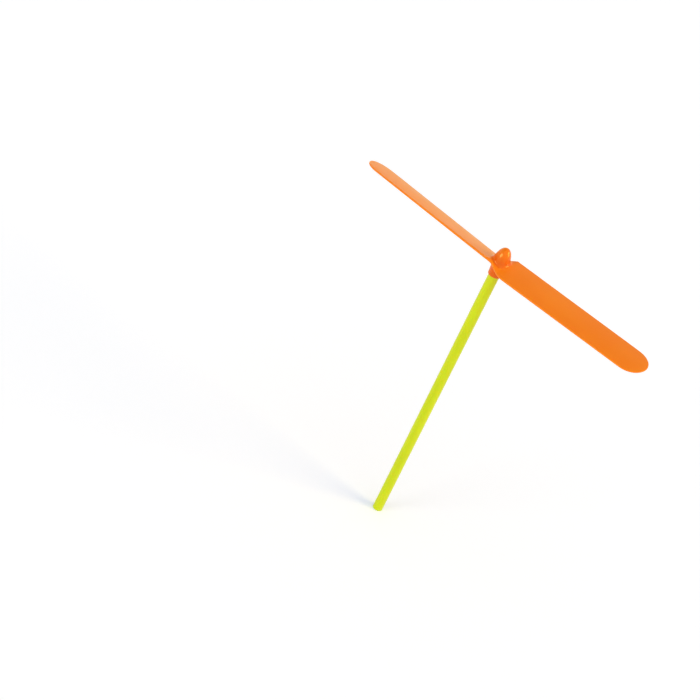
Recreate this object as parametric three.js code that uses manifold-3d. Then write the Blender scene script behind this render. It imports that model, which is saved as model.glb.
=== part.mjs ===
// Hand-spun propeller toy: a two-bladed moulded propeller pushed onto the spigot of a round stick.
// Millimetres, +Z up along the spin axis, origin at the centre of the stick's foot, blades along X.
import * as THREE from "three";
import { mergeVertices } from "three/addons/utils/BufferGeometryUtils.js";
import Module from "manifold-3d";

const wasm = await Module();
wasm.setup();

// Stick: a solid round rod whose thinner upper end, the spigot, is pushed into the propeller.
const STICK_DIAMETER = 6;
const STICK_LENGTH = 170.2;
const FOOT_ROUND = 0.5;
const SHOULDER_ROUND = 0.25;
const SPIGOT_DIAMETER = 4.4;
const SPIGOT_LENGTH = 9;
const SPIGOT_LEAD = 0.6;
const GRIP_RIB_COUNT = 4;
const GRIP_RIB_HEIGHT = 0.2;
const GRIP_RIB_WIDTH = 0.6;
const GRIP_RIB_MARGIN = 1.4;

// Push fit between the spigot's ribs and the socket, and the seat of the collar on the shoulder.
const SOCKET_CLEARANCE = 0.06;
const SOCKET_END_GAP = 0.4;
const SOCKET_MOUTH_BEVEL = 0.4;
const SEAT_GAP = 0.1;

// Hub: a slightly tapered collar round the socket, a fillet up to the blades, and a knob on top.
const HUB_DEPTH = 7.3;
const COLLAR_WALL = 1.26;
const COLLAR_TAPER = 0.2;
const COLLAR_EDGE_ROUND = 0.35;
const ROOT_FILLET = 4;
const KNOB_DIAMETER = 9.2;
const KNOB_BASE_HEIGHT = 1;
const KNOB_DOME_HEIGHT = 8.75;

// Blades: one strip through the hub, round at the tips. At the hub each blade's raised edge ends in a
// corner, and its lowered edge draws in gently and runs on past the spin axis to a notch beside the
// other blade.
const SPAN = 190;
const CHORD = 18.3;
const TIP_LENGTH = 10;
const CORNER_REACH = 4.8;
const NOTCH_REACH = 1.4;
const NOTCH_WIDTH = 13;
const DRAW_IN_REACH = 7.9;
const ROOT_THICKNESS = 1.3;
const TIP_THICKNESS = 1;
const CAMBER = 0.4;
const ROOT_PITCH = 14.5;
const TIP_PITCH = 12.5;
const CONING = 1.1;

// Fineness of the faceted surfaces.
const ROUND_SEGMENTS = 48;
const SECTION_POINTS = 24;
const BLADE_STEPS = 12;
const ROOT_STEPS = 5;
const TIP_STEPS = 9;
const ARC_STEPS = 5;
const FILLET_STEPS = 7;
const KNOB_STEPS = 9;

// Heights above the foot, and radii, that follow from the sizes above.
const SPIGOT_TOP = STICK_LENGTH + SPIGOT_LENGTH;
const COLLAR_FOOT = STICK_LENGTH + SEAT_GAP;
const BLADE_HEIGHT = COLLAR_FOOT + HUB_DEPTH;
const SOCKET_RADIUS = SPIGOT_DIAMETER / 2 + GRIP_RIB_HEIGHT + SOCKET_CLEARANCE;
const COLLAR_RADIUS = SOCKET_RADIUS + COLLAR_WALL;
const TIP_RADIUS = SPAN / 2;

const limeSheen = new THREE.MeshStandardMaterial({ color: 0xd2e01e, roughness: 0.35, metalness: 0 });
const orangeSheen = new THREE.MeshStandardMaterial({ color: 0xf48227, roughness: 0.3, metalness: 0 });

// Closed geometry as a solid that can be joined and cut.
function solidOf(geometry) {
  const bare = new THREE.BufferGeometry();
  bare.setAttribute("position", geometry.getAttribute("position"));
  bare.setIndex(geometry.getIndex());
  const merged = mergeVertices(bare, 1e-4);
  const corners = Array.from(merged.index.array);
  const kept = [];
  for (let i = 0; i < corners.length; i += 3) {
    const [a, b, c] = corners.slice(i, i + 3);
    if (a !== b && b !== c && c !== a) kept.push(a, b, c);
  }
  return new wasm.Manifold(
    new wasm.Mesh({
      numProp: 3,
      vertProperties: new Float32Array(merged.attributes.position.array),
      triVerts: new Uint32Array(kept),
    }),
  );
}

// A finished solid as a named mesh.
function meshOf(name, solid, material) {
  const { numProp, vertProperties, triVerts } = solid.getMesh();
  const points = [];
  for (let i = 0; i < vertProperties.length; i += numProp) {
    points.push(vertProperties[i], vertProperties[i + 1], vertProperties[i + 2]);
  }
  const geometry = new THREE.BufferGeometry();
  geometry.setAttribute("position", new THREE.Float32BufferAttribute(points, 3));
  geometry.setIndex(Array.from(triVerts));
  geometry.computeVertexNormals();
  const mesh = new THREE.Mesh(geometry, material);
  mesh.name = name;
  return mesh;
}

// A profile of [radius, height] points, from the axis at the bottom to the axis at the top, turned about Z.
function turned(profile) {
  const points = profile.map(([radius, height]) => new THREE.Vector2(radius, height));
  const geometry = new THREE.LatheGeometry(points, ROUND_SEGMENTS);
  return solidOf(geometry.rotateX(Math.PI / 2));
}

// Profile points on a rounded edge, from one angle to another about its centre.
function arc(radius, height, round, from, to) {
  return Array.from({ length: ARC_STEPS + 1 }, (_, i) => {
    const angle = THREE.MathUtils.degToRad(from + ((to - from) * i) / ARC_STEPS);
    return [radius + round * Math.cos(angle), height + round * Math.sin(angle)];
  });
}

// A solid skinned over closed rings of points, with a fan over each end ring.
function skinned(rings) {
  const count = rings[0].length;
  const points = rings.flat();
  const faces = [];
  for (let k = 0; k + 1 < rings.length; k++) {
    for (let i = 0; i < count; i++) {
      const next = (i + 1) % count;
      const [a, b] = [k * count + i, k * count + next];
      faces.push(a, b, b + count, a, b + count, a + count);
    }
  }
  for (const [ring, first, turn] of [
    [rings[0], 0, true],
    [rings.at(-1), (rings.length - 1) * count, false],
  ]) {
    const middle = ring.reduce((sum, p) => sum.add(p), new THREE.Vector3()).divideScalar(count);
    points.push(middle);
    for (let i = 0; i < count; i++) {
      const [a, b] = [first + i, first + ((i + 1) % count)];
      faces.push(...(turn ? [b, a, points.length - 1] : [a, b, points.length - 1]));
    }
  }
  const geometry = new THREE.BufferGeometry().setFromPoints(points);
  geometry.setIndex(faces);
  return solidOf(geometry);
}

// The stick, with its rounded foot, its shoulder and the ribs that grip the socket.
function stick() {
  const radius = STICK_DIAMETER / 2;
  const spigot = SPIGOT_DIAMETER / 2;
  const rod = turned([
    [0, 0],
    ...arc(radius - FOOT_ROUND, FOOT_ROUND, FOOT_ROUND, -90, 0),
    ...arc(radius - SHOULDER_ROUND, STICK_LENGTH - SHOULDER_ROUND, SHOULDER_ROUND, 0, 90),
    [spigot, STICK_LENGTH],
    [spigot, SPIGOT_TOP - SPIGOT_LEAD],
    [spigot - SPIGOT_LEAD, SPIGOT_TOP],
    [0, SPIGOT_TOP],
  ]);
  const ribDepth = spigot / 2 + GRIP_RIB_HEIGHT;
  const ribLength = SPIGOT_LENGTH - 2 * GRIP_RIB_MARGIN;
  let joined = rod;
  for (let i = 0; i < GRIP_RIB_COUNT; i++) {
    const rib = new THREE.BoxGeometry(ribDepth, GRIP_RIB_WIDTH, ribLength);
    rib.translate(spigot + GRIP_RIB_HEIGHT - ribDepth / 2, 0, STICK_LENGTH + SPIGOT_LENGTH / 2);
    rib.rotateZ((2 * Math.PI * (i + 0.5)) / GRIP_RIB_COUNT);
    joined = joined.add(solidOf(rib));
  }
  return meshOf("stick", joined, limeSheen);
}

// Half of the chord at a distance from the spin axis, rounded off at the tip.
function halfChord(reach) {
  const along = Math.max(0, (reach - TIP_RADIUS + TIP_LENGTH) / TIP_LENGTH);
  return (CHORD / 2) * Math.sqrt(Math.max(0, 1 - along * along));
}

// Pitch of a blade in radians at a distance from the spin axis.
function pitch(reach) {
  const along = THREE.MathUtils.clamp((reach - CORNER_REACH) / (TIP_RADIUS - CORNER_REACH), 0, 1);
  return THREE.MathUtils.degToRad(THREE.MathUtils.lerp(ROOT_PITCH, TIP_PITCH, along));
}

// Width of one edge of the strip from the middle, at a place along it: above zero it is the raised edge
// of one blade, and below zero it is the lowered edge of the other.
function edgeWidth(place) {
  if (place > CORNER_REACH || place < -DRAW_IN_REACH) return halfChord(Math.abs(place));
  const end = place > NOTCH_REACH ? CORNER_REACH : -DRAW_IN_REACH;
  const along = (place - NOTCH_REACH) / (end - NOTCH_REACH);
  return THREE.MathUtils.lerp(NOTCH_WIDTH / 2, halfChord(Math.abs(end)), along);
}

// Slope of the strip's face towards that edge: up to a raised edge, down to a lowered one.
function edgeSlope(place) {
  const along = THREE.MathUtils.clamp(place / CORNER_REACH, -1, 1);
  return pitch(Math.abs(place)) * Math.sin((Math.PI / 2) * along);
}

// A point of the strip: across runs from -1 to 1 over its width, up is square to its face.
function stripPoint(x, across, up) {
  const side = Math.sign(across) || 1;
  const place = side * x;
  const angle = edgeSlope(place);
  const width = Math.abs(across) * edgeWidth(place);
  const rise = Math.abs(x) * Math.tan(THREE.MathUtils.degToRad(CONING));
  return new THREE.Vector3(
    x,
    side * (width * Math.cos(angle) - up * Math.sin(angle)),
    BLADE_HEIGHT + rise + width * Math.sin(angle) + up * Math.cos(angle),
  );
}

// Closed section of the strip: a thin cambered plate with round edges, thinning to nothing at the tip.
function stripSection(x) {
  const reach = Math.abs(x);
  const tipRound = Math.sqrt(halfChord(reach) / (CHORD / 2));
  const thickness = THREE.MathUtils.lerp(ROOT_THICKNESS, TIP_THICKNESS, reach / TIP_RADIUS) * tipRound;
  return Array.from({ length: SECTION_POINTS }, (_, i) => {
    const angle = (2 * Math.PI * i) / SECTION_POINTS;
    const across = Math.sign(Math.cos(angle)) * Math.sqrt(Math.abs(Math.cos(angle)));
    const half = (Math.sign(Math.sin(angle)) * Math.sqrt(Math.abs(Math.sin(angle)))) / 2;
    return stripPoint(x, across, half * thickness + CAMBER * tipRound * (1 - across * across));
  });
}

// Places along the strip at which its section is drawn, from tip to tip.
function stations() {
  const steps = (from, to, count) =>
    Array.from({ length: count }, (_, i) => from + ((to - from) * (i + 1)) / count);
  const tipStart = TIP_RADIUS - TIP_LENGTH;
  const tipAngles = steps(0, Math.PI / 2, TIP_STEPS);
  const out = [
    NOTCH_REACH,
    ...steps(NOTCH_REACH, CORNER_REACH, ROOT_STEPS),
    DRAW_IN_REACH,
    ...steps(DRAW_IN_REACH, tipStart, BLADE_STEPS),
    ...tipAngles.map((angle) => tipStart + TIP_LENGTH * Math.sin(angle)),
  ];
  return [...out.map((x) => -x).reverse(), 0, ...out];
}

// Both blades and the waist between them.
function strip() {
  return skinned(stations().map(stripSection));
}

// Height of the strip's middle surface above the foot.
function stripHeight(x, y) {
  return stripPoint(x, 0, 0).z + Math.abs(y) * Math.tan(edgeSlope(Math.sign(y) * x));
}

// Distance from the spin axis out to the edge of the root fillet, an oval that stays between the notches.
function filletReach(direction) {
  const long = COLLAR_RADIUS + ROOT_FILLET;
  const short = NOTCH_WIDTH / 2;
  return 1 / Math.hypot(Math.cos(direction) / long, Math.sin(direction) / short);
}

// The fillet that stiffens the blade roots, sweeping from the collar out to the underside of the strip.
function rootFillet() {
  const rings = Array.from({ length: FILLET_STEPS + 1 }, () => []);
  for (let i = 0; i < ROUND_SEGMENTS; i++) {
    const direction = (2 * Math.PI * i) / ROUND_SEGMENTS;
    const wide = filletReach(direction) - COLLAR_RADIUS;
    rings.forEach((ring, k) => {
      const angle = ((Math.PI / 2) * k) / FILLET_STEPS;
      const reach = COLLAR_RADIUS + wide * (1 - Math.cos(angle));
      const [x, y] = [reach * Math.cos(direction), reach * Math.sin(direction)];
      ring.push(new THREE.Vector3(x, y, stripHeight(x, y) - ROOT_FILLET * (1 - Math.sin(angle))));
    });
  }
  return skinned(rings);
}

// The knob, a tall dome on a short round base that stands in the strip.
function knob() {
  const radius = KNOB_DIAMETER / 2;
  const base = BLADE_HEIGHT + KNOB_BASE_HEIGHT;
  const dome = Array.from({ length: KNOB_STEPS }, (_, i) => {
    const angle = ((Math.PI / 2) * i) / KNOB_STEPS;
    return [radius * Math.cos(angle), base + KNOB_DOME_HEIGHT * Math.sin(angle)];
  });
  const foot = BLADE_HEIGHT - KNOB_BASE_HEIGHT;
  return turned([[0, foot], [radius, foot], ...dome, [0, base + KNOB_DOME_HEIGHT]]);
}

// The collar that holds the stick, up to the middle of the strip.
function collar() {
  return turned([
    [0, COLLAR_FOOT],
    ...arc(COLLAR_RADIUS - COLLAR_EDGE_ROUND, COLLAR_FOOT + COLLAR_EDGE_ROUND, COLLAR_EDGE_ROUND, -90, 0),
    [COLLAR_RADIUS + COLLAR_TAPER, BLADE_HEIGHT],
    [0, BLADE_HEIGHT],
  ]);
}

// The blind hole that takes the spigot, with a bevelled mouth.
function socket() {
  const end = SPIGOT_TOP + SOCKET_END_GAP;
  const below = COLLAR_FOOT - SOCKET_MOUTH_BEVEL;
  return turned([
    [0, below],
    [SOCKET_RADIUS + 2 * SOCKET_MOUTH_BEVEL, below],
    [SOCKET_RADIUS, COLLAR_FOOT + SOCKET_MOUTH_BEVEL],
    [SOCKET_RADIUS, end],
    [0, end],
  ]);
}

// The propeller, moulded in one piece.
function propeller() {
  const body = strip().add(collar()).add(rootFillet()).add(knob());
  return meshOf("propeller", body.subtract(socket()), orangeSheen);
}

const toy = new THREE.Group();
toy.name = "propeller_toy";
toy.add(stick(), propeller());

export default toy;
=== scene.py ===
"""Hand-spun propeller toy: a moulded propeller with pitched blades on a round stick, with its stage."""
from math import asin, atan2, cos, pi, radians, sin, sqrt, tan

import bmesh
import bpy
from bpy.props import FloatProperty, FloatVectorProperty, IntProperty, PointerProperty
from bpy.types import Operator, Panel, PropertyGroup
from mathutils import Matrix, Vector


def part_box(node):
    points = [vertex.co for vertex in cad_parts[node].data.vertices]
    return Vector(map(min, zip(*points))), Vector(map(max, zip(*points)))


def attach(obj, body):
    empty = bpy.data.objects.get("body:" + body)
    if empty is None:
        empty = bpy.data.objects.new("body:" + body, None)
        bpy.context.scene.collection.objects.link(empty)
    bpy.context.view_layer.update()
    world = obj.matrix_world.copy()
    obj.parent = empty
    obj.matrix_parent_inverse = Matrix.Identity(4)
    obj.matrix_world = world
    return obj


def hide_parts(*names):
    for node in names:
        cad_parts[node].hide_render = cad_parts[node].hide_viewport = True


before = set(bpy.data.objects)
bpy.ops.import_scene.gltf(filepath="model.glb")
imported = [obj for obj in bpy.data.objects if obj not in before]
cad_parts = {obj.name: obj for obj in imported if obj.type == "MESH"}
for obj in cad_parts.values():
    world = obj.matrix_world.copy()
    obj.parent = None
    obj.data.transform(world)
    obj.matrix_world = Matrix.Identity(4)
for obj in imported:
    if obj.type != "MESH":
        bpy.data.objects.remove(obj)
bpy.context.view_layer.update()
STICK_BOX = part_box("stick")
PROPELLER_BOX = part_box("propeller")

bl_info = {
    "name": "Propeller Toy",
    "version": (1, 0, 0),
    "blender": (4, 5, 0),
    "location": "View3D > Sidebar > Propeller Toy",
    "description": "Models a hand-spun propeller toy and its stage",
    "category": "Object",
}

MM = 0.001

# Fineness of the meshes
STICK_SIDES = 96
ROUND_STEPS = 6
BLADE_ROWS = 12
TIP_ROWS = 4
EDGE_SEGMENTS = 2
FILLET_STEPS = 3
DOME_STEPS = 7
COLLAR_ROUND_STEPS = 2
SMOOTHING_LEVELS = 2

# Distance from an edge to the line beside it that keeps the edge crisp
HOLDING_GAP = 0.04 * MM

# Distance below which two vertices become one
WELDING_GAP = 0.002 * MM

# Lengthwise lines of the strip in shares of its half width, out to the last one inside the edge
STRIP_LINES = (0.0, 0.28, 0.56, 0.84)

# Least angle between two faces of the flat strip that meet at its rim
RIM_ANGLE = radians(60)

# Least upward share of the normal of a face that counts as the strip's upper or lower face
FLAT_SHARE = 0.9

# Share of a step round a ring by which its first vertex may lie on either side of the X axis
RING_MARGIN = 0.45

# Fullness of the outline in which a fillet of the hub ends, where 2 would be an oval
FILLET_FULLNESS = 3

# Body of the plastics
REFRACTION = 1.5
TRANSLUCENCY = 0.25
TRANSLUCENT_REACH = (1.0, 0.4, 0.1)
TRANSLUCENT_DEPTH = 1.2 * MM

# Gloss of the plastics
ROD_SPECULAR = 0.25
ROD_ROUGHNESS = 0.28
PROPELLER_SPECULAR = 1.0
BLADE_ROUGHNESS = 0.37
HUB_ROUGHNESS = 0.115
HAZE_WEIGHT = 0.57
HAZE_ROUGHNESS = 0.35

# Share of the blades' paler colour painted at the top of the knob as painted light
KNOB_PAINTED_LIGHT = 0.65

# Clouds of tone and patches of gloss in the skin of the plastics
ROD_STREAKS = (1, 1, 0.15)
ROD_CLOUDS = 220
BLADE_STREAKS = (0.6, 1, 1)
BLADE_CLOUDS = 40
CLOUD_DETAIL = 3
CLOUD_LIMITS = (0.3, 0.7)
PATCHES_PER_CLOUD = 4
PATCH_DETAIL = 4
PATCH_LIMITS = (0.35, 0.65)
GLOSS_RANGE = 0.05

# Ripple of the skin
RIPPLE_SCALE = 900
RIPPLE_DETAIL = 2
RIPPLE_HEIGHT = 0.02 * MM
RIPPLE_STRENGTH = 0.05

# Handling scratches
SCRATCH_AMOUNT = 0.5
SCRATCH_ROUGHNESS = 0.08
SCRATCH_WIDTH = 0.012
SCRATCH_STRETCH = (9000, 250, 250)
SCRATCH_DETAIL = 1
SCRATCH_TURNS = ((0.2, 0.3, 0.5), (0.4, -0.2, 1.9))
SCRATCH_BREAKS = 140
BREAK_DETAIL = 2
BREAK_LIMITS = (0.5, 0.65)

# Steepness of a look upwards at which the white walls start to darken, and at which the ceiling starts
CEILING_FADE = (0.5, 0.78)


def length(name, description, default):
    """A size in metres for a property group."""
    return FloatProperty(
        name=name, description=description, default=default, unit="LENGTH", subtype="DISTANCE"
    )


def angle(name, description, degrees):
    """An angle for a property group."""
    return FloatProperty(name=name, description=description, default=radians(degrees), subtype="ANGLE")


def colour(name, description, default):
    """A colour for a property group, in linear values."""
    return FloatVectorProperty(
        name=name, description=description, default=default, size=3, min=0, max=1, subtype="COLOR"
    )


def level(name, description, default):
    """A brightness for a property group."""
    return FloatProperty(
        name=name, description=description, default=default, min=0, max=1, subtype="FACTOR"
    )


def light_strength(name, description, default):
    """The strength of a light for a property group."""
    return FloatProperty(name=name, description=description, default=default, min=0)


def vector(name, description, default):
    """A place or a direction for a property group."""
    return FloatVectorProperty(name=name, description=description, default=default, subtype="XYZ")


class StickSettings(PropertyGroup):
    """Sizes and colour of the stick."""

    diameter: length("Diameter", "Thickness of the rod", STICK_BOX[1].x - STICK_BOX[0].x)
    shoulder: length("Shoulder height", "Height of the shoulder above the foot", 170.2 * MM)
    foot_round: length("Foot round", "Radius of the foot's edge", 0.5 * MM)
    shoulder_round: length("Shoulder round", "Radius of the shoulder's edge", 0.25 * MM)
    spigot_diameter: length("Spigot diameter", "Thickness of the end inside the propeller", 4.4 * MM)
    spigot_lead: length("Spigot lead", "Size of the bevel on the spigot's end", 0.6 * MM)
    rib_count: IntProperty(name="Grip ribs", description="Ribs round the spigot", default=4)
    rib_height: length("Rib height", "How far a rib stands out", 0.2 * MM)
    rib_width: length("Rib width", "Width of a rib at its root", 0.6 * MM)
    rib_margin: length("Rib margin", "Plain spigot above and below a rib", 1.4 * MM)
    lime: colour("Lime", "Colour of the rod", (0.605, 0.71, 0.004))
    pale_lime: colour("Pale lime", "Colour of the rod's paler streaks", (0.665, 0.77, 0.007))


class PropellerSettings(PropertyGroup):
    """Sizes and colours of the propeller."""

    span: length("Span", "Distance from tip to tip", PROPELLER_BOX[1].x - PROPELLER_BOX[0].x)
    chord: length("Chord", "Width of a blade", 18.24 * MM)
    tip_length: length("Tip length", "Length of a blade's round end", 10 * MM)
    corner_reach: length("Corner reach", "Where a raised edge ends at the hub", 4.8 * MM)
    corner_round: length("Corner round", "Size of the round on that corner", 0.25 * MM)
    notch_reach: length("Notch reach", "Where the strip is narrowest", 1.4 * MM)
    notch_width: length("Notch width", "Width of the strip at its narrowest", 13 * MM)
    draw_in_reach: length("Draw-in reach", "Where a lowered edge starts to draw in", 7.9 * MM)
    root_thickness: length("Root thickness", "Thickness of the strip at the hub", 1.3 * MM)
    tip_thickness: length("Tip thickness", "Thickness of the strip at its tips", 1 * MM)
    edge_round: length("Edge round", "Radius of the strip's edges", 0.5 * MM)
    camber: length("Camber", "Rise of the strip's middle over its edges", 0.4 * MM)
    root_pitch: angle("Root pitch", "Slope of a blade's face at the hub", 14.5)
    tip_pitch: angle("Tip pitch", "Slope of a blade's face at the tip", 12.5)
    coning: angle("Coning", "Slope of the blades up towards the tips", 1.1)
    height: length("Blade height", "Height of the blades' plane above the foot", 177.6 * MM)
    knob_diameter: length("Knob diameter", "Width of the knob", 9.2 * MM)
    knob_base: length("Knob base", "Height of the dome's foot above the blades' plane", 1 * MM)
    knob_fillet: length("Knob fillet", "Radius between knob and blades", 1.8 * MM)
    collar_diameter: length("Collar diameter", "Width of the collar at its foot", 7.44 * MM)
    collar_taper: length("Collar taper", "Growth of the collar's radius up to the blades", 0.2 * MM)
    collar_round: length("Collar round", "Radius of the collar's lower edge", 0.35 * MM)
    root_fillet: length("Root fillet", "Radius between collar and blades", 4 * MM)
    fillet_margin: length("Fillet margin", "Strip left plain between a fillet and a notch", 1.2 * MM)
    socket_diameter: length("Socket diameter", "Width of the hole for the spigot", 4.92 * MM)
    socket_depth: length("Socket depth", "Depth of the hole for the spigot", 9.3 * MM)
    socket_bevel: length("Socket bevel", "Size of the bevel round the socket's mouth", 0.4 * MM)
    orange: colour("Orange", "Colour of the blades", (0.93, 0.204, 0.001))
    # Pale orange is also the colour the knob is painted towards at its top, as painted light
    pale_orange: colour("Pale orange", "Colour of the blades' paler clouds", (0.975, 0.234, 0.003))
    # The hub's deep orange is partly the thick plastic's tone and partly painted shade on the knob and
    # collar
    deep_shaded_orange: colour("Deep orange", "Colour of the thick hub", (0.81, 0.112, 0.001))
    gloss: colour("Gloss", "Tint of the plastic's gloss", (1.0, 0.66, 0.18))
    haze: colour("Haze", "Tint of the haze that shows at a skimming look", (1.0, 0.8, 0.2))


class StageSettings(PropertyGroup):
    """Floor, light and camera."""

    floor_size: length("Floor size", "Width of the floor", 12.0)
    floor_grey: level("Floor grey", "Share of the light that the floor gives back", 0.9)
    floor_glow: colour("Floor glow", "Cool light added to the seen floor", (0.138, 0.177, 0.275))
    sky_light: level("Sky light", "Brightness of the light from all round", 0.53)
    ceiling: level("Ceiling", "Brightness of the seen room overhead, above its white walls", 0.25)
    top_from: vector("Top light from", "Direction of the overhead light", (0.3, -0.35, 0.89))
    top_spread: angle("Top light spread", "Width of the overhead light", 60)
    top_strength: light_strength("Top light strength", "Light of the overhead light", 0.45)
    front_from: vector("Front light from", "Direction of the front light", (-0.25, -0.9, 0.25))
    front_spread: angle("Front light spread", "Width of the front light", 25)
    front_strength: light_strength("Front light strength", "Light of the front light", 0.9)
    side_from: vector("Side light from", "Direction of the warm side light", (0.8, 0.35, 0.5))
    side_spread: angle("Side light spread", "Width of the warm side light", 33)
    side_strength: light_strength("Side light strength", "Light of the warm side light", 1.5)
    side_warmth: colour("Side light colour", "Colour of the warm side light", (1.0, 0.82, 0.36))
    camera_place: vector("Camera place", "Where the camera stands", (0.26309, -0.59589, 0.50374))
    camera_turn: FloatVectorProperty(
        name="Camera turn",
        description="How far the camera is tipped up from straight down, rolled and swung round",
        default=(radians(55.192), radians(-20.22), radians(41.943)),
        subtype="EULER",
    )
    lens: FloatProperty(name="Lens", description="Focal length", default=72, unit="CAMERA")
    sensor: FloatProperty(name="Sensor", description="Width of the sensor", default=36, unit="CAMERA")


def lerp(start, end, share):
    """The value a share of the way from start to end."""
    return start + (end - start) * share


def clamp(value, low, high):
    """The value, kept between two limits."""
    return max(low, min(high, value))


def arc(centre, radius, start, end):
    """Points on an arc in the XZ plane, from one angle to another in degrees."""
    turns = [radians(lerp(start, end, i / ROUND_STEPS)) for i in range(ROUND_STEPS + 1)]
    return [Vector((centre[0] + radius * cos(a), 0, centre[1] + radius * sin(a))) for a in turns]


def around(direction, radius, height=0):
    """A point at a distance from the spin axis."""
    return Vector((radius * cos(direction), radius * sin(direction), height))


def show(name, bm, material, levels=0):
    """A mesh object made from a finished bmesh, shaded smooth."""
    bmesh.ops.remove_doubles(bm, verts=bm.verts[:], dist=WELDING_GAP)
    bmesh.ops.recalc_face_normals(bm, faces=bm.faces[:])
    for face in bm.faces:
        face.smooth = True
    mesh = bpy.data.meshes.new(name)
    bm.to_mesh(mesh)
    bm.free()
    mesh.materials.append(material)
    piece = bpy.data.objects.new(name, mesh)
    bpy.context.scene.collection.objects.link(piece)
    if levels:
        smoothing = piece.modifiers.new("Smoothing", "SUBSURF")
        smoothing.levels = levels
        smoothing.render_levels = levels
    return piece


# Stick


def rib_span(s):
    """Heights between which the grip ribs run."""
    return s.shoulder + s.rib_margin, STICK_BOX[1].z - s.rib_margin


def stick_profile(s):
    """Points from the middle of the foot up the side of the rod to the middle of the spigot's end."""
    radius = s.diameter / 2
    spigot = s.spigot_diameter / 2
    top = STICK_BOX[1].z
    rib_low, rib_high = rib_span(s)
    return [
        Vector((0, 0, 0)),
        Vector((radius - s.foot_round - HOLDING_GAP, 0, 0)),
        *arc((radius - s.foot_round, s.foot_round), s.foot_round, -90, 0),
        Vector((radius, 0, s.foot_round + HOLDING_GAP)),
        Vector((radius, 0, s.shoulder - s.shoulder_round - HOLDING_GAP)),
        *arc((radius - s.shoulder_round, s.shoulder - s.shoulder_round), s.shoulder_round, 0, 90),
        Vector((spigot + HOLDING_GAP, 0, s.shoulder)),
        Vector((spigot, 0, s.shoulder + HOLDING_GAP)),
        Vector((spigot, 0, rib_low)),
        Vector((spigot, 0, rib_high)),
        Vector((spigot, 0, top - s.spigot_lead - HOLDING_GAP)),
        Vector((spigot - HOLDING_GAP, 0, top - s.spigot_lead + HOLDING_GAP)),
        Vector((spigot - s.spigot_lead + HOLDING_GAP, 0, top - HOLDING_GAP)),
        Vector((spigot - s.spigot_lead - HOLDING_GAP, 0, top)),
        Vector((0, 0, top)),
    ]


def model_stick(s):
    """The rod turned from its profile, with grip ribs raised on the spigot."""
    bm = bmesh.new()
    points = [bm.verts.new(point) for point in stick_profile(s)]
    edges = [bm.edges.new(pair) for pair in zip(points, points[1:])]
    bmesh.ops.spin(
        bm,
        geom=points + edges,
        cent=(0, 0, 0),
        axis=(0, 0, 1),
        angle=2 * pi,
        steps=STICK_SIDES,
        use_merge=True,
    )
    bmesh.ops.remove_doubles(bm, verts=bm.verts[:], dist=WELDING_GAP)
    bmesh.ops.recalc_face_normals(bm, faces=bm.faces[:])
    rib_low, rib_high = rib_span(s)
    pitch = 2 * pi / s.rib_count
    half_turn = s.rib_width / s.spigot_diameter
    ribs = []
    for face in bm.faces:
        middle = face.calc_center_median()
        turn = atan2(middle.y, middle.x) % pitch - pitch / 2
        if rib_low < middle.z < rib_high and abs(turn) < half_turn:
            ribs.append(face)
    bmesh.ops.inset_region(
        bm,
        faces=ribs,
        thickness=s.rib_height / 2,
        depth=s.rib_height,
        use_even_offset=True,
        use_boundary=True,
    )
    return bm


# Propeller


def edge_width(s, place):
    """Half width of the strip towards one edge, at a place along it: above zero beside a blade's raised
    edge, and below zero beside the other blade's lowered edge."""
    if place > s.corner_reach or place < -s.draw_in_reach:
        return s.chord / 2
    end = s.corner_reach if place > s.notch_reach else -s.draw_in_reach
    return lerp(s.notch_width / 2, s.chord / 2, (place - s.notch_reach) / (end - s.notch_reach))


def slope(s, x):
    """Slope of the strip's face across X, up to +Y on one blade and down to it on the other."""
    along = clamp((abs(x) - s.corner_reach) / (s.span / 2 - s.corner_reach), 0, 1)
    return lerp(s.root_pitch, s.tip_pitch, along) * sin(pi / 2 * clamp(x / s.corner_reach, -1, 1))


def thickness(s, x):
    """Thickness of the strip."""
    return lerp(s.root_thickness, s.tip_thickness, abs(x) / (s.span / 2))


def crown(s, x, y):
    """Rise of the cambered strip over its edges."""
    across = clamp(abs(y) / edge_width(s, x if y > 0 else -x), 0, 1)
    return s.camber * (1 - across * across)


def bent(s, flat):
    """Where a point of the flat strip goes when its blades are pitched, cambered and raised."""
    x, y = flat.x, flat.y
    turn = slope(s, x)
    up = flat.z * thickness(s, x) / s.root_thickness + crown(s, x, y)
    rise = s.height + abs(x) * tan(s.coning)
    return Vector((x, y * cos(turn) - up * sin(turn), rise + y * sin(turn) + up * cos(turn)))


def face_height(s, x, y, side):
    """Height of the strip's upper face, with side 1, or of its lower face, with side -1."""
    turn = slope(s, x)
    up = side * thickness(s, x) / 2 + crown(s, x, y)
    return s.height + abs(x) * tan(s.coning) + y * tan(turn) + up / cos(turn)


def hub_end(s):
    """How far along the strip its middle part reaches, where the hub is drawn out of it."""
    return s.draw_in_reach + 2 * s.edge_round


def strip_rows(s):
    """Places along the strip, from the hub out to where a tip starts."""
    tip_start = s.span / 2 - s.tip_length
    return [
        0,
        s.notch_reach,
        lerp(s.notch_reach, s.corner_reach, 0.5),
        s.corner_reach - s.corner_round,
        s.corner_reach,
        s.corner_reach + s.corner_round,
        s.draw_in_reach,
        *(lerp(hub_end(s), tip_start, i / BLADE_ROWS) for i in range(BLADE_ROWS + 1)),
    ]


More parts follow.
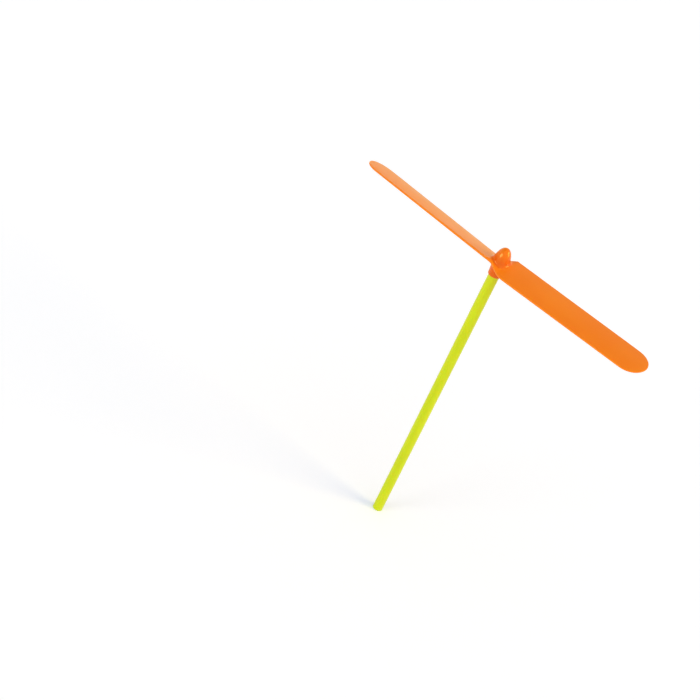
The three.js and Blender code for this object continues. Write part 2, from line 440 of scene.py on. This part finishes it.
def flat_strip(s):
    """The flat plate from which the strip is bent, with round tips, a waist and round edges."""
    rows = strip_rows(s)
    lines = (*STRIP_LINES, 1.0)
    row_count = len(rows) - 1 + TIP_ROWS
    line_count = len(lines) - 1
    bm = bmesh.new()
    bmesh.ops.create_grid(bm, x_segments=2 * row_count, y_segments=2 * line_count, size=1)
    for vert in bm.verts:
        row = round(vert.co.x * row_count)
        line = round(vert.co.y * line_count)
        side_x = 1 if row > 0 else -1
        across = lines[abs(line)] * (1 if line > 0 else -1)
        if abs(row) < len(rows):
            x = side_x * rows[abs(row)]
            y = across * edge_width(s, x if line > 0 else -x)
        else:
            # The outer rows of the grid are drawn from a rectangle into a half oval
            out = (abs(row) - len(rows) + 1) / TIP_ROWS
            x = side_x * (rows[-1] + s.tip_length * out * sqrt(1 - across * across / 2))
            y = s.chord / 2 * across * sqrt(1 - out * out / 2)
        vert.co = (x, y, -s.root_thickness / 2)
    upper = bmesh.ops.extrude_face_region(bm, geom=bm.faces[:], use_keep_orig=True)["geom"]
    raised = [item for item in upper if isinstance(item, bmesh.types.BMVert)]
    bmesh.ops.translate(bm, verts=raised, vec=(0, 0, s.root_thickness))
    bmesh.ops.recalc_face_normals(bm, faces=bm.faces[:])
    rim = []
    for edge in bm.edges:
        first, second = edge.verts
        if edge.calc_face_angle(0) > RIM_ANGLE and first.co.z * second.co.z > 0:
            rim.append(edge)
    bmesh.ops.bevel(
        bm,
        geom=rim,
        offset=s.edge_round,
        offset_type="OFFSET",
        segments=EDGE_SEGMENTS,
        profile=0.5,
        affect="EDGES",
        material=-1,
        clamp_overlap=False,
    )
    return bm


def open_hub(s, bm, side):
    """Cuts the opening for the hub in the flat strip's upper or lower face and returns its edges."""
    faces = []
    for face in bm.faces:
        middle = face.calc_center_median()
        width = edge_width(s, middle.x if middle.y > 0 else -middle.x)
        inside = abs(middle.x) < hub_end(s) and abs(middle.y) < width * STRIP_LINES[-1]
        if inside and face.normal.z * side > FLAT_SHARE:
            faces.append(face)
    edges = {edge for face in faces for edge in face.edges}
    border = [edge for edge in edges if sum(face in faces for face in edge.link_faces) == 1]
    bmesh.ops.delete(bm, geom=faces, context="FACES")
    return border


def next_ring(bm, loop, place):
    """Extrudes a loop round the spin axis and puts each new vertex where place says, from its direction
    and the point it came from."""
    made = bmesh.ops.extrude_edge_only(bm, edges=loop)["geom"]
    verts = [item for item in made if isinstance(item, bmesh.types.BMVert)]
    step = 2 * pi / len(verts)
    verts.sort(key=lambda vert: (atan2(vert.co.y, vert.co.x) + step * RING_MARGIN) % (2 * pi))
    for i, vert in enumerate(verts):
        vert.co = place(i * step, vert.co.copy())
    return [item for item in made if isinstance(item, bmesh.types.BMEdge) and item.is_boundary]


def fillet_reach(s, direction, long):
    """How far out a fillet of the hub ends: long along the blades, and short of the notches."""
    short = s.notch_width / 2 - s.fillet_margin
    shares = abs(cos(direction) / long), abs(sin(direction) / short)
    return sum(share**FILLET_FULLNESS for share in shares) ** (-1 / FILLET_FULLNESS)


def model_knob(s, bm, loop):
    """The fillet and the dome above the strip's upper face."""
    radius = s.knob_diameter / 2
    base = s.height + s.knob_base
    dome = PROPELLER_BOX[1].z - base

    def reach(direction):
        return fillet_reach(s, direction, radius + s.knob_fillet)

    def spread(direction, old):
        point = old.lerp(around(direction, reach(direction)), 0.5)
        return Vector((point.x, point.y, face_height(s, point.x, point.y, 1)))

    def fillet(turn):
        def place(direction, old):
            size = reach(direction) - radius
            point = around(direction, radius + size * (1 - sin(turn)))
            point.z = face_height(s, point.x, point.y, 1) + size * (1 - cos(turn))
            return point

        return place

    def dome_ring(share):
        def place(direction, old):
            foot = around(direction, radius)
            start = face_height(s, foot.x, foot.y, 1) + reach(direction) - radius
            low = asin(clamp((start - base) / dome, -1, 1))
            turn = lerp(low, pi / 2, share)
            return around(direction, radius * cos(turn), base + dome * sin(turn))

        return place

    loop = next_ring(bm, loop, spread)
    for i in range(FILLET_STEPS):
        loop = next_ring(bm, loop, fillet(pi / 2 * i / FILLET_STEPS))
    for i in range(DOME_STEPS):
        loop = next_ring(bm, loop, dome_ring(i / DOME_STEPS))
    loop = next_ring(bm, loop, dome_ring((DOME_STEPS - 0.5) / DOME_STEPS))
    bmesh.ops.contextual_create(bm, geom=loop)


def model_collar(s, bm, loop):
    """The fillet, collar and socket below the strip's lower face."""
    foot = PROPELLER_BOX[0].z
    radius = s.collar_diameter / 2
    socket = s.socket_diameter / 2
    socket_end = foot + s.socket_depth
    gap = 2 * HOLDING_GAP

    def collar_radius(height):
        return radius + s.collar_taper * (height - foot) / (s.height - foot)

    def fillet(turn):
        def place(direction, old):
            inner = collar_radius(s.height - s.root_fillet)
            outer = fillet_reach(s, direction, radius + s.root_fillet)
            point = around(direction, lerp(inner, outer, 1 - cos(turn)))
            point.z = face_height(s, point.x, point.y, -1) - s.root_fillet * (1 - sin(turn))
            return point

        return place

    def ring(ring_radius, height):
        return lambda direction, old: around(direction, ring_radius, height)

    steps = FILLET_STEPS + 1
    for i in range(steps + 1):
        loop = next_ring(bm, loop, fillet(pi / 2 * (1 - i / steps)))
    round_start = foot + 2 * s.collar_round
    rings = [(collar_radius(round_start), round_start)]
    for i in range(COLLAR_ROUND_STEPS + 1):
        turn = pi / 2 * i / COLLAR_ROUND_STEPS
        out = radius - s.collar_round * (1 - cos(turn))
        rings.append((out, foot + s.collar_round * (1 - sin(turn))))
    rings += [
        (socket + s.socket_bevel + gap, foot),
        (socket + s.socket_bevel - gap, foot + gap),
        (socket + gap, foot + s.socket_bevel - gap),
        (socket, foot + s.socket_bevel + gap),
        (socket, lerp(foot, socket_end, 0.5)),
        (socket, socket_end - gap),
        (socket - gap, socket_end),
        (socket / 2, socket_end),
    ]
    for ring_radius, height in rings:
        loop = next_ring(bm, loop, ring(ring_radius, height))
    bmesh.ops.contextual_create(bm, geom=loop)


def model_propeller(s):
    """Both blades, bent from a flat strip, with the knob and the collar drawn out of its middle."""
    bm = flat_strip(s)
    upper = open_hub(s, bm, 1)
    lower = open_hub(s, bm, -1)
    for vert in bm.verts:
        vert.co = bent(s, vert.co)
    model_knob(s, bm, upper)
    model_collar(s, bm, lower)
    return bm


# Materials


def add(tree, kind, settings=None, inputs=None):
    """A node of a kind with its settings, and with values or links on its inputs."""
    made = tree.nodes.new(kind)
    for name, value in (settings or {}).items():
        setattr(made, name, value)
    for name, value in (inputs or {}).items():
        if isinstance(value, bpy.types.NodeSocket):
            tree.links.new(value, made.inputs[name])
        else:
            made.inputs[name].default_value = value
    return made


def calculate(tree, operation, first, second=0.0):
    """The result of a sum on values or sockets."""
    return add(tree, "ShaderNodeMath", {"operation": operation}, {0: first, 1: second}).outputs[0]


def remap(tree, value, low, high, new_low=0.0, new_high=1.0):
    """A value eased from one range into another."""
    limits = {"From Min": low, "From Max": high, "To Min": new_low, "To Max": new_high}
    eased = {"interpolation_type": "SMOOTHSTEP"}
    return add(tree, "ShaderNodeMapRange", eased, {"Value": value, **limits}).outputs["Result"]


def blend_values(tree, share, first, second):
    """A mix of two values or sockets, which a Mix node takes as its inputs 2 and 3."""
    return add(tree, "ShaderNodeMix", None, {0: share, 2: first, 3: second}).outputs[0]


def blend_colours(tree, share, first, second):
    """A mix of two colours or sockets, which a Mix node takes as its inputs 6 and 7."""
    return add(tree, "ShaderNodeMix", {"data_type": "RGBA"}, {0: share, 6: first, 7: second}).outputs[2]


def noise(tree, place, scale, detail):
    """An even pattern of light and dark spots, as values about one half."""
    inputs = {"Vector": place, "Scale": scale, "Detail": detail}
    return add(tree, "ShaderNodeTexNoise", None, inputs).outputs["Fac"]


def rgba(values):
    """A colour with full opacity."""
    return (*values, 1)


def new_group(name, inputs, outputs):
    """A shader node group with its sockets, and its first and last node."""
    group = bpy.data.node_groups.new(name, "ShaderNodeTree")
    for label, kind, default in inputs:
        socket = group.interface.new_socket(label, in_out="INPUT", socket_type=kind)
        if default is not None:
            socket.default_value = default
    for label in outputs:
        group.interface.new_socket(label, in_out="OUTPUT", socket_type="NodeSocketFloat")
    return group, group.nodes.new("NodeGroupInput"), group.nodes.new("NodeGroupOutput")


def moulded_skin_group():
    """What moulded plastic shows close up: slow clouds of tone, an uneven gloss and a faint ripple."""
    inputs = (
        ("Vector", "NodeSocketVector", None),
        ("Cloud Scale", "NodeSocketFloat", BLADE_CLOUDS),
        ("Ripple Scale", "NodeSocketFloat", RIPPLE_SCALE),
    )
    group, start, end = new_group("moulded_skin", inputs, ("Cloud", "Gloss", "Ripple"))
    place = start.outputs["Vector"]
    cloud_scale = start.outputs["Cloud Scale"]
    patch_scale = calculate(group, "MULTIPLY", cloud_scale, PATCHES_PER_CLOUD)
    cloud = remap(group, noise(group, place, cloud_scale, CLOUD_DETAIL), *CLOUD_LIMITS)
    gloss = remap(group, noise(group, place, patch_scale, PATCH_DETAIL), *PATCH_LIMITS)
    ripple = noise(group, place, start.outputs["Ripple Scale"], RIPPLE_DETAIL)
    group.links.new(cloud, end.inputs["Cloud"])
    group.links.new(gloss, end.inputs["Gloss"])
    group.links.new(ripple, end.inputs["Ripple"])
    return group


def scratches_group():
    """Fine handling scratches: thin broken lines in two directions."""
    inputs = (("Vector", "NodeSocketVector", None), ("Amount", "NodeSocketFloat", SCRATCH_AMOUNT))
    group, start, end = new_group("fine_scratches", inputs, ("Mask",))
    place = start.outputs["Vector"]
    lines = []
    for turn in SCRATCH_TURNS:
        drawn = {"Vector": place, "Rotation": turn, "Scale": SCRATCH_STRETCH}
        turned = add(group, "ShaderNodeMapping", None, drawn).outputs["Vector"]
        offset = calculate(group, "SUBTRACT", noise(group, turned, 1, SCRATCH_DETAIL), 0.5)
        lines.append(remap(group, calculate(group, "ABSOLUTE", offset), 0.0, SCRATCH_WIDTH, 1.0, 0.0))
    both = calculate(group, "MAXIMUM", *lines)
    whole = remap(group, noise(group, place, SCRATCH_BREAKS, BREAK_DETAIL), *BREAK_LIMITS)
    shown = calculate(group, "MULTIPLY", both, whole)
    group.links.new(calculate(group, "MULTIPLY", shown, start.outputs["Amount"]), end.inputs["Mask"])
    return group


def shared_group(name):
    """A node group that is built once and used by both plastics."""
    makers = {"moulded_skin": moulded_skin_group, "fine_scratches": scratches_group}
    return {"node_tree": bpy.data.node_groups.get(name) or makers[name]()}


def plastic(name, streaks, clouds, specular, finish):
    """A glossy, slightly translucent plastic whose clouds are drawn out by streaks.

    The sockets that feed its shader come from finish, which is given the tree, the place on the piece,
    the clouds and the roughness that the marks add.
    """
    material = bpy.data.materials.new(name)
    material.use_nodes = True
    tree = material.node_tree
    shader = tree.nodes["Principled BSDF"]
    place = add(tree, "ShaderNodeTexCoord").outputs["Object"]
    drawn = add(tree, "ShaderNodeMapping", None, {"Vector": place, "Scale": streaks}).outputs["Vector"]
    surface = {"Vector": drawn, "Cloud Scale": clouds}
    skin = add(tree, "ShaderNodeGroup", shared_group("moulded_skin"), surface).outputs
    scratches = add(tree, "ShaderNodeGroup", shared_group("fine_scratches"), {"Vector": place}).outputs
    uneven = calculate(tree, "MULTIPLY", skin["Gloss"], GLOSS_RANGE)
    scratched = calculate(tree, "MULTIPLY", scratches["Mask"], SCRATCH_ROUGHNESS)
    marks = calculate(tree, "ADD", uneven, scratched)
    for label, socket in finish(tree, place, skin["Cloud"], marks).items():
        tree.links.new(socket, shader.inputs[label])
    ripple = {"Strength": RIPPLE_STRENGTH, "Distance": RIPPLE_HEIGHT, "Height": skin["Ripple"]}
    bump = add(tree, "ShaderNodeBump", None, ripple)
    tree.links.new(bump.outputs["Normal"], shader.inputs["Normal"])
    shader.inputs["IOR"].default_value = REFRACTION
    shader.inputs["Specular IOR Level"].default_value = specular
    shader.inputs["Subsurface Weight"].default_value = TRANSLUCENCY
    shader.inputs["Subsurface Radius"].default_value = TRANSLUCENT_REACH
    shader.inputs["Subsurface Scale"].default_value = TRANSLUCENT_DEPTH
    return material


def lime_plastic(s):
    """The rod's plastic, with faint streaks along its length."""

    def finish(tree, place, cloud, marks):
        return {
            "Base Color": blend_colours(tree, cloud, rgba(s.lime), rgba(s.pale_lime)),
            "Roughness": calculate(tree, "ADD", marks, ROD_ROUGHNESS),
        }

    return plastic("lime_plastic", ROD_STREAKS, ROD_CLOUDS, ROD_SPECULAR, finish)


def orange_plastic(s):
    """The propeller's plastic: slightly hazy, glossier on the hub, with painted shade in the hub's deep
    colour.
    """

    def finish(tree, place, cloud, marks):
        radius = s.knob_diameter / 2
        axes = add(tree, "ShaderNodeSeparateXYZ", None, {"Vector": place}).outputs
        sideways = {"X": axes["X"], "Y": axes["Y"]}
        flat = add(tree, "ShaderNodeCombineXYZ", None, sideways).outputs["Vector"]
        reach = add(tree, "ShaderNodeVectorMath", {"operation": "LENGTH"}, {0: flat}).outputs["Value"]
        # Share of the hub, which is glossier and whose deep colour is partly painted shade
        hub_share = remap(tree, reach, radius, radius + s.knob_fillet, 1.0, 0.0)
        # Painted light: the knob is painted paler towards its top
        rise = remap(tree, axes["Z"], s.height + s.knob_base, PROPELLER_BOX[1].z, 0.0, KNOB_PAINTED_LIGHT)
        blade = blend_colours(tree, cloud, rgba(s.orange), rgba(s.pale_orange))
        hub = blend_colours(tree, rise, rgba(s.deep_shaded_orange), rgba(s.pale_orange))
        smooth = remap(tree, hub_share, 0.0, 1.0, BLADE_ROUGHNESS, HUB_ROUGHNESS)
        return {
            "Base Color": blend_colours(tree, hub_share, blade, hub),
            "Roughness": calculate(tree, "ADD", marks, smooth),
        }

    material = plastic("orange_plastic", BLADE_STREAKS, BLADE_CLOUDS, PROPELLER_SPECULAR, finish)
    shader = material.node_tree.nodes["Principled BSDF"]
    shader.inputs["Specular Tint"].default_value = rgba(s.gloss)
    shader.inputs["Sheen Weight"].default_value = HAZE_WEIGHT
    shader.inputs["Sheen Roughness"].default_value = HAZE_ROUGHNESS
    shader.inputs["Sheen Tint"].default_value = rgba(s.haze)
    return material


def seen_rays(tree):
    """One for the rays by which something is seen, straight, in a reflection or through glass."""
    path = add(tree, "ShaderNodeLightPath").outputs
    mirrored = calculate(tree, "MAXIMUM", path["Is Glossy Ray"], path["Is Transmission Ray"])
    return calculate(tree, "MAXIMUM", path["Is Camera Ray"], mirrored)


def floor_white(s):
    """A floor that keeps the toy's shadow, is lifted to white where seen and is clear from below."""
    material = bpy.data.materials.new("floor_white")
    material.use_nodes = True
    tree = material.node_tree
    tree.nodes.remove(tree.nodes["Principled BSDF"])
    matt = add(tree, "ShaderNodeBsdfDiffuse", None, {"Color": rgba((s.floor_grey,) * 3)})
    lift = {"Color": rgba(s.floor_glow), "Strength": seen_rays(tree)}
    glow = add(tree, "ShaderNodeEmission", None, lift)
    upper = add(tree, "ShaderNodeAddShader", None, {0: matt.outputs[0], 1: glow.outputs[0]})
    clear = add(tree, "ShaderNodeBsdfTransparent")
    under = add(tree, "ShaderNodeNewGeometry").outputs["Backfacing"]
    both = add(tree, "ShaderNodeMixShader", None, {0: under, 1: upper.outputs[0], 2: clear.outputs[0]})
    tree.links.new(both.outputs[0], tree.nodes["Material Output"].inputs["Surface"])
    return material


def white_room(s):
    """Even light from all round, and white walls under a darker ceiling where the room is seen."""
    world = bpy.data.worlds.new("white_room")
    world.use_nodes = True
    tree = world.node_tree
    outward = add(tree, "ShaderNodeTexCoord").outputs["Generated"]
    upward = add(tree, "ShaderNodeSeparateXYZ", None, {"Vector": outward}).outputs["Z"]
    walls = remap(tree, upward, *CEILING_FADE, 1.0, s.ceiling)
    brightness = blend_values(tree, seen_rays(tree), s.sky_light, walls)
    background = tree.nodes["Background"]
    background.inputs["Color"].default_value = rgba((1, 1, 1))
    tree.links.new(brightness, background.inputs["Strength"])
    return world


# Stage


def add_light(name, source, spread, amount, tint=(1, 1, 1)):
    """A wide soft light that shines evenly over the whole stage from a direction."""
    light = bpy.data.lights.new(name, "SUN")
    light.angle = spread
    light.energy = amount
    light.color = tint
    lamp = bpy.data.objects.new(name, light)
    lamp.rotation_euler = Vector(source).to_track_quat("Z", "Y").to_euler()
    bpy.context.scene.collection.objects.link(lamp)


def place_camera(s):
    """The camera, at the photograph's viewing angle."""
    camera = bpy.data.objects.new("camera", bpy.data.cameras.new("camera"))
    camera.location = s.camera_place
    camera.rotation_euler = s.camera_turn
    camera.data.lens = s.lens
    camera.data.sensor_width = s.sensor
    bpy.context.scene.collection.objects.link(camera)
    bpy.context.scene.camera = camera


# Operators


class TOY_OT_stick(Operator):
    """Model the stick with its foot, shoulder, spigot and grip ribs"""

    bl_idname = "toy.stick"
    bl_label = "Stick"

    def execute(self, context):
        s = context.scene.toy_stick
        piece = show("stick_rod", model_stick(s), lime_plastic(s))
        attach(piece, "stick")
        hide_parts("stick")
        return {"FINISHED"}


class TOY_OT_propeller(Operator):
    """Model the propeller with its blades, knob, collar and socket"""

    bl_idname = "toy.propeller"
    bl_label = "Propeller"

    def execute(self, context):
        s = context.scene.toy_propeller
        piece = show("propeller_moulding", model_propeller(s), orange_plastic(s), SMOOTHING_LEVELS)
        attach(piece, "propeller")
        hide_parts("propeller")
        return {"FINISHED"}


class TOY_OT_stage(Operator):
    """Set the floor, the light and the camera"""

    bl_idname = "toy.stage"
    bl_label = "Stage"

    def execute(self, context):
        s = context.scene.toy_stage
        bm = bmesh.new()
        bmesh.ops.create_grid(bm, x_segments=1, y_segments=1, size=s.floor_size / 2)
        show("floor", bm, floor_white(s))
        context.scene.world = white_room(s)
        add_light("top_light", s.top_from, s.top_spread, s.top_strength)
        add_light("front_light", s.front_from, s.front_spread, s.front_strength)
        add_light("side_light", s.side_from, s.side_spread, s.side_strength, s.side_warmth)
        place_camera(s)
        context.scene.view_settings.view_transform = "Standard"
        return {"FINISHED"}


class TOY_PT_pieces(Panel):
    """Lists the toy's pieces and its stage"""

    bl_idname = "TOY_PT_pieces"
    bl_label = "Propeller Toy"
    bl_space_type = "VIEW_3D"
    bl_region_type = "UI"
    bl_category = "Propeller Toy"

    def draw(self, context):
        for operator in (TOY_OT_stick, TOY_OT_propeller, TOY_OT_stage):
            self.layout.operator(operator.bl_idname)


CLASSES = (
    StickSettings,
    PropellerSettings,
    StageSettings,
    TOY_OT_stick,
    TOY_OT_propeller,
    TOY_OT_stage,
    TOY_PT_pieces,
)
SETTINGS = {
    "toy_stick": StickSettings,
    "toy_propeller": PropellerSettings,
    "toy_stage": StageSettings,
}


def register():
    """Adds the settings, the operators and the panel to Blender."""
    for cls in CLASSES:
        bpy.utils.register_class(cls)
    for name, group in SETTINGS.items():
        setattr(bpy.types.Scene, name, PointerProperty(type=group))


def unregister():
    """Takes the settings, the operators and the panel out of Blender."""
    for name in SETTINGS:
        delattr(bpy.types.Scene, name)
    for cls in reversed(CLASSES):
        bpy.utils.unregister_class(cls)


def main():
    """Builds the toy and its stage."""
    register()
    bpy.ops.toy.stick()
    bpy.ops.toy.propeller()
    bpy.ops.toy.stage()


if __name__ == "__main__":
    main()
